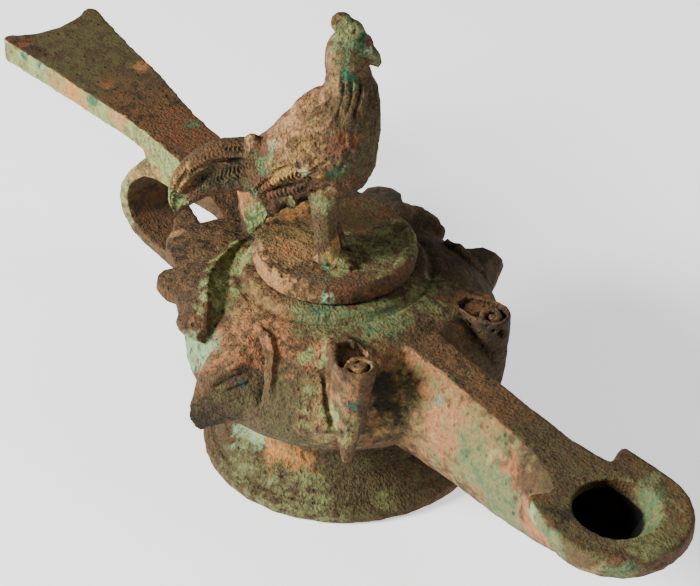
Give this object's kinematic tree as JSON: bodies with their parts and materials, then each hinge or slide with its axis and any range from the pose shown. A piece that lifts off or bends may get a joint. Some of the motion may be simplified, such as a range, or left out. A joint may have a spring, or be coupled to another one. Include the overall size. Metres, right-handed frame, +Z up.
{
  "type": "oil lamp",
  "caption": "Cast bronze oil lamp on a round foot, with a long nozzle, a ring handle under a thumb plate, leaf ornaments, and a lift-off lid topped by a cockerel.",
  "frame": {"origin": "on the surface the lamp stands on, under the middle of its whole length and breadth", "axes": "+X toward the nozzle, -X toward the handle, +Z up"},
  "size_m": [0.202, 0.0748, 0.0959],
  "materials": {
    "bronze_body": "matte, pitted, mottled reddish brown and pale green patina",
    "bronze_lid": "matte, pitted, mottled olive brown and dark green patina"
  },
  "bodies": {
    "root": {"lamp_body": "bronze_body", "cockerel_lid": "bronze_lid"}
  },
  "joints": []
}
